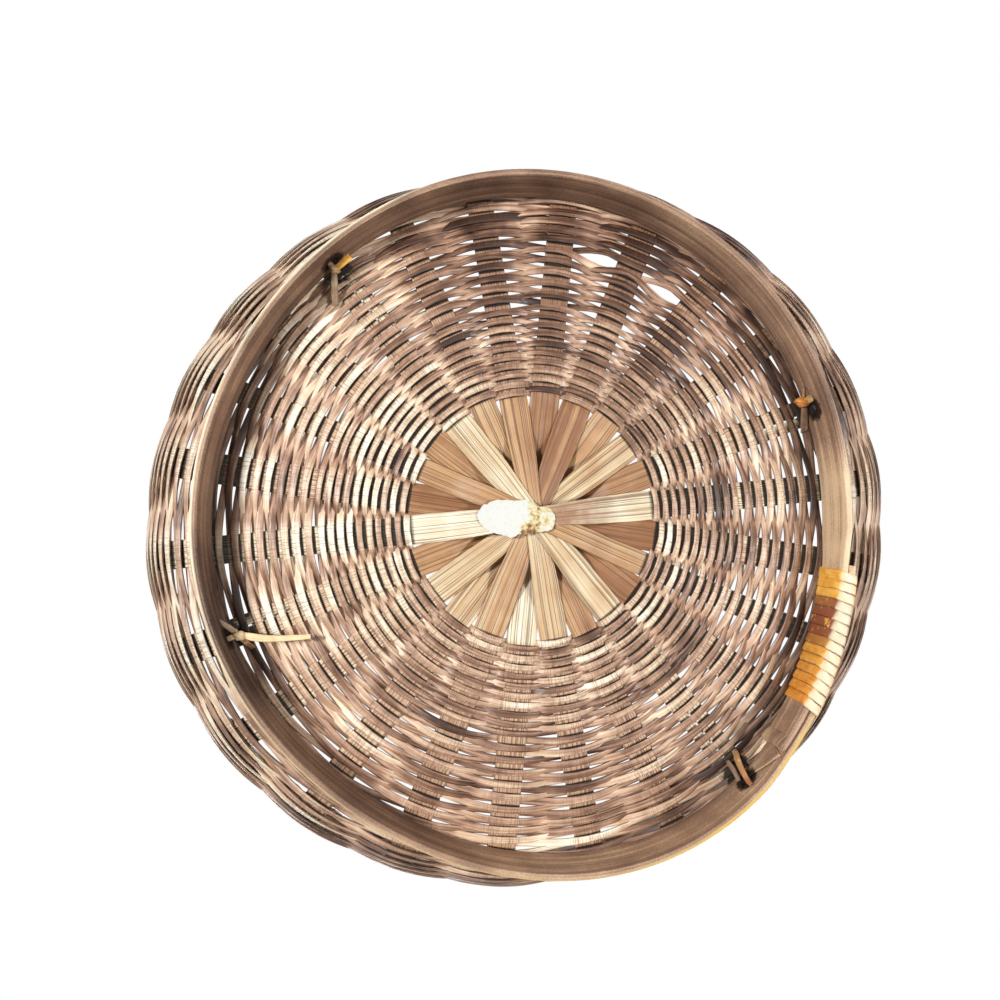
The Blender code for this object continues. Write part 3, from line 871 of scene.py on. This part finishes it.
def make_foot_hoop():
    sweep = np.arange(0.0, math.tau + HOOP_LAP + 0.001, DEG)
    angle = HOOP_START + sweep
    from_lap = np.minimum(sweep - HOOP_LAP, math.tau - sweep)
    relief = HOOP_RELIEF * np.clip(1 - from_lap / HOOP_FADE, 0, 1)
    outer = hoop_outer(sweep)
    centres = polar(outer - HOOP_THICKNESS / 2, angle, HOOP_HEIGHT / 2)
    directions, *columns = np.array(HOOP_CORNER).T
    strength, reach, gold = [np.interp(np.degrees(angle), directions, column, period=360)
                             for column in columns]
    strength = strength * (sweep < math.tau)

    def corner(points):
        depth = outer[:, None] - np.hypot(points[..., 0], points[..., 1])
        low = smooth((HOOP_CORNER_HEIGHT + relief[:, None] - points[..., 2]) / 0.0009)
        return strength[:, None] * low * smooth((reach[:, None] * MM - depth) / 0.0004 + 0.5)

    strips = Strips()
    strips.sweep(centres, polar(1.0, angle, 0.0), HOOP_HEIGHT / 2 - relief, HOOP_THICKNESS / 2, SLAB,
                 tone=hoop_tone(angle), edge=corner, gold=gold)
    piece = strips.make("foot_hoop_strip", HOOP, "hoop_bamboo", "foot_hoop")
    across = Matrix.Rotation(math.pi / 2, 4, "Y")
    cut_away(piece, [(9, facing(tie_hole(stake), stake) @ across, TIE_HOLE_SIZE) for stake in TIE_STAKES])


def make_inner_end():
    """The curled flap at the hoop's inner end, and the thin layer that goes on past it."""
    inner = float(hoop_outer(math.tau + HOOP_LAP)) - HOOP_THICKNESS
    strips = Strips()
    curl = through([(0.25, 44.1), (-0.55, 43.9), (-0.95, 43.2), (-0.8, 42.3), (-0.35, 41.5)], 6)
    angle = curl[:, 1] * DEG
    centres = polar(inner + curl[:, 0] * MM, angle, HOOP_HEIGHT / 2 + 0.0002)
    ups = np.cross(path_directions(centres, False), (0.0, 0.0, 1.0))
    strips.sweep(centres, ups, 0.0062, 0.00022, FLAT, tone=0.72)
    angle = np.linspace(43.9, 51.0, 16) * DEG
    share = np.linspace(0, 1, 16)
    outer_layer = hoop_outer(hoop_sweep(angle)) - HOOP_THICKNESS
    thickness = 0.0011 * (1 - 0.75 * share)
    centres = polar(outer_layer - thickness / 2 - 0.0001, angle, 0.0080 + 0.0042 * share)
    strips.sweep(centres, polar(1.0, angle, 0.0), 0.0064 - 0.0048 * share, thickness / 2, FLAT,
                 tone=0.62 + 0.25 * share)
    strips.make("hoop_inner_end", HOOP, "hoop_bamboo")


def make_binding():
    per_turn = 24
    turn = np.arange(BINDING_TURNS * per_turn + 1) / per_turn
    angle = BINDING_START - 0.5 * BINDING_SWEEP / BINDING_TURNS
    angle = angle + BINDING_SWEEP * turn / (BINDING_TURNS - 0.5)
    c, s = wound(turn * math.tau + math.pi / 2, 5, 7)
    sweep = hoop_sweep(angle)
    outer = hoop_outer(sweep) + BINDING_OUTSIDE
    inner = hoop_outer(sweep + math.tau) - HOOP_THICKNESS - BINDING_INSIDE
    half_height = HOOP_HEIGHT / 2 - BINDING_OUTSIDE
    middle = polar((outer + inner) / 2, angle, HOOP_HEIGHT / 2)
    centres = polar((outer + inner) / 2 + (outer - inner) / 2 * c, angle, HOOP_HEIGHT / 2 + half_height * s)
    outward = (centres - middle) * (1, 1, 0.12)
    width = BINDING_WIDTH * (1 + 0.04 * np.sin(7.3 * turn))
    strips = Strips()
    strips.sweep(centres, outward, width / 2, CANE_THICKNESS / 2, BAND,
                 stain=hump(np.degrees(angle), *BINDING_WORN), orange=0.85 * smooth((turn - 4) / 10),
                 edge=0.92 * smooth((0.0013 - centres[:, 2]) / 0.0006))
    strips.make_cane("hoop_binding")


def cane_run(strips, points, thickness=0.7, upright=False, **marks):
    """Flat cane through points of (radius mm, degrees, height mm, half width mm). It lies flat
    to the floor, or upright with its width round the basket."""
    path = through(points, 8)
    angle = path[:, 1] * DEG
    centres = polar(path[:, 0] * MM, angle, path[:, 2] * MM)
    forward = path_directions(centres, False)
    around = polar(1.0, angle + math.pi / 2, 0.0)
    sideways = around if upright else unit(np.cross((0.0, 0.0, 1.0), forward))
    shades = {name: np.linspace(*ends, len(path)) for name, ends in marks.items()}
    strips.sweep(centres, np.cross(forward, sideways), path[:, 3] * MM, thickness / 2 * MM, BAND, **shades)


def knot(strips, radius, degrees, height, heading, size, **marks):
    """A pulled knot: a rounded lump of (length, width, depth) mm with a turn of cane round it."""
    middle = polar(radius * MM, degrees * DEG, height * MM)
    ahead = polar(1.0, heading * DEG, 0.0)
    aside = polar(1.0, (heading + 90) * DEG, 0.0)
    up = np.array((0.0, 0.0, 1.0))
    length, width, depth = np.array(size) * MM / 2
    t = np.linspace(-1, 1, 9)
    swell = np.sqrt(1 - (0.93 * t) ** 2)
    strips.sweep(middle + ahead * t[:, None] * length, up, width * swell, depth * swell, oval(14, 2.4),
                 **marks)
    turn = np.linspace(0, math.tau, 20, endpoint=False)[:, None]
    outward = aside * np.cos(turn) * width + up * np.sin(turn) * depth
    tilt = ahead * np.cos(turn) * length * 0.35
    strips.sweep(middle + outward * 1.06 + tilt, outward, 0.00075, 0.0003, BAND, closed=True, **marks)


def make_tie_lower_right():
    strips = Strips()
    cane_run(strips, [(106.4, 49.4, 15.4, 0.85), (106.8, 49.6, 13.8, 1.0), (107.6, 50.2, 11.6, 1.05),
                      (109.6, 51.0, 8.4, 0.95), (112.2, 51.5, 5.8, 0.9), (113.3, 51.6, 4.0, 0.8)],
             upright=True, stain=(0.4, 0.8), edge=(0.15, 0.0), grey=(0.7, 0.1), orange=(0.0, 1.0))
    cane_run(strips, [(107.4, 51.6, 15.0, 0.7), (109.6, 52.0, 11.6, 0.8), (112.4, 52.5, 9.4, 0.7)],
             upright=True, stain=(1.0, 1.0), grey=(0.8, 0.7))
    strips.make_cane("tie_lower_right")


def make_tie_left():
    """The tie with the long loose end."""
    strips = Strips()
    knot(strips, 104.6, 158.3, 10.4, 150, (3.6, 3.0, 2.6), stain=0.12, edge=0.75)
    cane_run(strips, [(103.6, 158.2, 10.9, 0.9), (101.0, 157.2, 10.2, 1.25), (96.0, 155.6, 9.8, 1.1),
                      (90.0, 153.9, 10.2, 0.95), (84.2, 152.2, 11.0, 0.8)],
             stain=(0.55, 0.0), edge=(0.45, 0.75))
    cane_run(strips, [(108.6, 161.9, 8.6, 0.8), (107.0, 160.6, 9.8, 0.95), (105.4, 159.2, 10.4, 0.9)],
             stain=(0.6, 0.3), edge=(0.0, 0.2), grey=(0.9, 0.7))
    cane_run(strips, [(109.4, 158.4, 9.6, 0.8), (107.0, 158.5, 9.9, 0.9), (105.0, 158.4, 10.6, 0.9)],
             stain=(0.9, 0.4), edge=(0.0, 0.4), grey=(0.6, 0.2))
    cane_run(strips, [(104.4, 157.6, 10.8, 0.8), (103.8, 156.2, 13.4, 0.9), (104.0, 155.2, 17.2, 0.9)],
             stain=(0.9, 0.9), grey=(0.5, 0.6))
    strips.make_cane("tie_left")


def make_tie_upper_left():
    strips = Strips()
    knot(strips, 107.6, 230.8, 10.2, 320, (3.0, 3.0, 2.6), stain=0.3, edge=0.25, grey=0.6)
    cane_run(strips, [(107.3, 231.4, 9.8, 1.0), (107.4, 232.8, 9.3, 1.15), (107.7, 234.4, 9.0, 1.15)],
             thickness=1.0, stain=(0.15, 0.0), grey=(0.1, 0.0))
    cane_run(strips, [(107.4, 230.6, 10.8, 0.9), (104.6, 229.2, 12.0, 1.15), (101.4, 227.6, 14.4, 1.2),
                      (100.2, 226.9, 16.4, 1.15)],
             stain=(0.3, 0.3), edge=(0.15, 0.1), grey=(0.85, 0.9))
    cane_run(strips, [(110.6, 230.7, 9.6, 0.8), (109.0, 230.8, 9.8, 0.9), (107.6, 230.8, 10.2, 0.9)],
             stain=(0.9, 0.6), grey=(0.7, 0.6))
    strips.make_cane("tie_upper_left")


def make_tie_right():
    strips = Strips()
    knot(strips, 102.6, 336.9, 10.2, 300, (3.6, 4.2, 3.0), stain=0.45, orange=0.8)
    cane_run(strips, [(103.4, 337.0, 9.2, 1.1), (105.0, 336.9, 8.6, 1.3), (106.6, 336.8, 8.4, 1.1)],
             stain=(0.5, 0.2), edge=(0.0, 0.1), grey=(0.2, 0.8))
    cane_run(strips, [(103.8, 336.6, 10.6, 0.45), (104.4, 335.4, 9.8, 0.45), (105.0, 334.3, 9.2, 0.4)],
             stain=(0.8, 0.8), grey=(0.5, 0.5))
    cane_run(strips, [(103.2, 338.0, 11.2, 1.1), (103.0, 340.2, 13.6, 1.4), (103.0, 342.6, 16.6, 1.4)],
             stain=(0.9, 0.9), grey=(0.75, 0.8))
    strips.make_cane("tie_right")


def make_rim_hoops():
    angle = np.linspace(0, math.tau, 240, endpoint=False)
    for name, side in (("inner", 1), ("outer", -1)):
        offset = side * (SPLINT_THICKNESS / 2 + RIM_CLEARANCE + RIM_THICKNESS / 2)
        centres, normals = on_weave(RIM_MIDDLE, angle, offset + 0.0001 * np.sin(3 * angle))
        strips = Strips()
        strips.sweep(centres, normals, RIM_HEIGHT / 2, RIM_THICKNESS / 2, SLAB, closed=True,
                     tone=0.45 + 0.12 * np.sin(angle * 2 + side))
        strips.make(f"{name}_rim_strip", HOOP, "hoop_bamboo", f"{name}_rim_hoop")


def make_rim_lashing():
    turns = 2 * STAKES
    turn = np.arange(turns * 20) / 20
    angle = turn * math.tau / turns + STAKE_ANGLES[0]
    c, s = wound(turn * math.tau, 5, 6)
    centres, normals = on_weave(RIM_MIDDLE + (RIM_HEIGHT / 2 + LASHING_OVER) * s, angle, LASHING_REACH * c)
    middle, _ = on_weave(RIM_MIDDLE, angle, 0.0)
    outward = centres - middle
    level = np.sum(outward * normals, axis=1, keepdims=True) * normals
    strips = Strips()
    strips.sweep(centres, level * 3 + outward * 0.35, LASHING_WIDTH / 2, LASHING_THICKNESS / 2, BAND,
                 closed=True, stain=0.3, grey=0.25)
    strips.make_cane("rim_lashing")


def sheet_faces(around, rings):
    """Faces of two sheets, each of rings of points round a centre, and of the edge between them."""
    upper = (rings + 1) * around
    edge = rings * around
    faces = []
    for k in range(around):
        m = (k + 1) % around
        for layer in (0, upper):
            for ring in range(rings):
                here = layer + ring * around
                ahead = here + around
                face = [here + k, here + m, ahead + m, ahead + k]
                if ring == 0:
                    face.remove(here + m)
                faces.append(face if layer == 0 else face[::-1])
        faces.append([edge + k, edge + m, upper + edge + m, upper + edge + k])
    return faces


def make_label():
    """Blank paper label, torn at its edge and worn in one patch."""
    corners = [(-19.9, -0.5), (-18.3, -3.4), (-14.8, -5.2), (-10.9, -5.8), (-7.0, -5.4), (-3.5, -5.8),
               (-1.1, -5.4), (0.5, -4.0), (1.8, -3.4), (4.3, -3.2), (6.0, -1.7), (6.9, 0.5), (6.3, 3.2),
               (4.8, 4.7), (1.4, 5.2), (-2.6, 5.6), (-5.6, 5.9), (-7.0, 6.8), (-8.7, 7.0), (-10.2, 6.4),
               (-13.4, 5.7), (-16.3, 4.4), (-18.8, 2.2)]
    outline = through(corners + corners[:1], 4)[:-1]
    around, rings = len(outline), 14
    outline += RNG.normal(0, LABEL_TEAR_MM, outline.shape)
    middle = np.array((-6.6, 0.2))
    share = (np.arange(rings + 1) / rings)[:, None, None]
    sheet = middle + (outline - middle) * share
    low = BASE_HEIGHT - (SPLINTS - 1) / 2 * LEVEL - SPLINT_THICKNESS / 2 - LABEL_GAP
    curl = LABEL_CURL * share[..., 0] ** 7 * (0.6 + 0.4 * np.sin(np.arange(around) / 7))
    layers = [np.concatenate([sheet * MM, (height - curl)[..., None]], axis=-1).reshape(-1, 3)
              for height in (low - LABEL_THICKNESS, low)]
    mesh = bpy.data.meshes.new("torn_label")
    mesh.from_pydata(np.concatenate(layers).tolist(), [], sheet_faces(around, rings))
    x, y = np.tile(sheet.reshape(-1, 2), (2, 1)).T
    worn = 0.62 * hump(x, -2.4, 1.5, 1.2) * hump(y, -9, 2.5, 1.5) + 0.46 * hump(x, 1.0, 9, 1.5)
    worn = np.maximum(worn, 0.8 * hump(x, -5.2, 1.8, 1.6) * hump(y, 2.0, 9, 1.6))
    mesh.attributes.new("worn", "FLOAT", "POINT").data.foreach_set("value", worn.astype(np.float32))
    mesh.materials.append(PAPER)
    dress(mesh, "paper", "paper_label")


def make_camera():
    lean = Quaternion(Vector((-math.sin(TILT_TOWARDS), math.cos(TILT_TOWARDS), 0)), TILT).to_matrix()
    axes = Matrix([lean @ Vector(axis) for axis in ((1, 0, 0), (0, -1, 0), (0, 0, -1))])
    data = bpy.data.cameras.new("camera")
    data.lens = LENS
    data.sensor_width = 36.0
    data.clip_start = 0.01
    camera = linked("camera", data)
    camera.matrix_world = Matrix.Translation(-(axes @ HOOP_CENTRE)) @ axes.to_4x4()
    bpy.context.scene.camera = camera


def make_lamp(name, away, azimuth, off_axis, size, energy):
    """Square lamp that faces the basket. Off_axis is the angle from straight below, in degrees."""
    off_axis *= DEG
    direction = Vector(polar(math.sin(off_axis), azimuth * DEG, -math.cos(off_axis)).tolist())
    data = bpy.data.lights.new(name, "AREA")
    data.size = size
    data.energy = energy
    lamp = linked(name, data)
    lamp.location = Vector((0, 0, 0.03)) + direction * away
    lamp.rotation_euler = direction.to_track_quat("Z", "Y").to_euler()


def make_stage():
    """Pale floor, clear from below, that fades to the white of the backdrop."""
    floor_mesh = bpy.data.meshes.new("floor")
    low, high = -FLOOR_REACH, FLOOR_REACH
    corners = [(x, y, FLOOR_HEIGHT) for x, y in ((low, low), (high, low), (high, high), (low, high))]
    floor_mesh.from_pydata(corners, [], [(0, 1, 2, 3)])
    floor = linked("floor", floor_mesh)
    material, tree, shader = new_material("floor_pale")
    shader.inputs["Base Color"].default_value = linear("EFEDE8")
    shader.inputs["Roughness"].default_value = 0.8
    clear = add(tree, "BsdfTransparent")
    behind = add(tree, "NewGeometry").outputs["Backfacing"]
    place = add(tree, "TexCoord").outputs["Object"]
    away = add(tree, "VectorMath", {0: place}, operation="LENGTH").outputs["Value"]
    white = add(tree, "Emission", {"Strength": 1.0})
    far = between(tree, away, 0.25, 1.3)
    faded = add(tree, "MixShader", {0: far, 1: shader.outputs[0], 2: white.outputs[0]})
    one_sided = add(tree, "MixShader", {0: behind, 1: faded.outputs[0], 2: clear.outputs[0]})
    tree.links.new(one_sided.outputs[0], tree.nodes["Material Output"].inputs["Surface"])
    floor_mesh.materials.append(material)
    floor.visible_shadow = floor.visible_diffuse = floor.visible_glossy = False


def make_light():
    """Lamps low at the photograph's left and right, and a sky that is brighter near the horizon."""
    world = bpy.data.worlds.new("world")
    bpy.context.scene.world = world
    world.use_nodes = True
    tree = world.node_tree
    background = tree.nodes["Background"]
    path = add(tree, "LightPath")
    seen = maths(tree, "MAXIMUM", path.outputs["Is Camera Ray"], path.outputs["Is Transmission Ray"])
    seen = maths(tree, "MAXIMUM", seen, path.outputs["Is Glossy Ray"])
    direction = add(tree, "SeparateXYZ", {0: add(tree, "TexCoord").outputs["Generated"]})
    steep = add(tree, "Math", {0: direction.outputs["Z"]}, operation="ABSOLUTE").outputs[0]
    glow = between(tree, steep, 0.0, 0.8, 0.20, 0.03)
    sky = add(tree, "CombineXYZ", {0: glow, 1: glow, 2: glow}).outputs[0]
    tree.links.new(blend(tree, seen, sky, (1.0, 1.0, 1.0, 1.0)), background.inputs["Color"])
    make_lamp("key", away=0.9, azimuth=190, off_axis=36, size=0.12, energy=7.5)
    make_lamp("fill", away=1.2, azimuth=60, off_axis=30, size=0.7, energy=0.5)
    make_lamp("side", away=0.9, azimuth=8, off_axis=37, size=0.12, energy=5.0)
    make_lamp("top", away=1.4, azimuth=120, off_axis=150, size=0.9, energy=14.0)


WEAVER = finish("weaver_brown", 0.45, weaver_wiring)
SPLINT = finish("splint_bamboo", 0.45, splint_wiring)
HOOP = finish("hoop_bamboo_worn_and_shaded", 0.25, hoop_wiring)
CANE = finish("cane_golden", 0.45, cane_wiring)
PAPER = finish("paper_torn", 0.1, paper_wiring)

make_camera()
make_light()
make_stage()
make_weave()
make_splints()
make_foot_hoop()
make_inner_end()
make_binding()
make_tie_lower_right()
make_tie_left()
make_tie_upper_left()
make_tie_right()
make_rim_hoops()
make_rim_lashing()
make_label()

bpy.context.scene.view_settings.view_transform = "Standard"
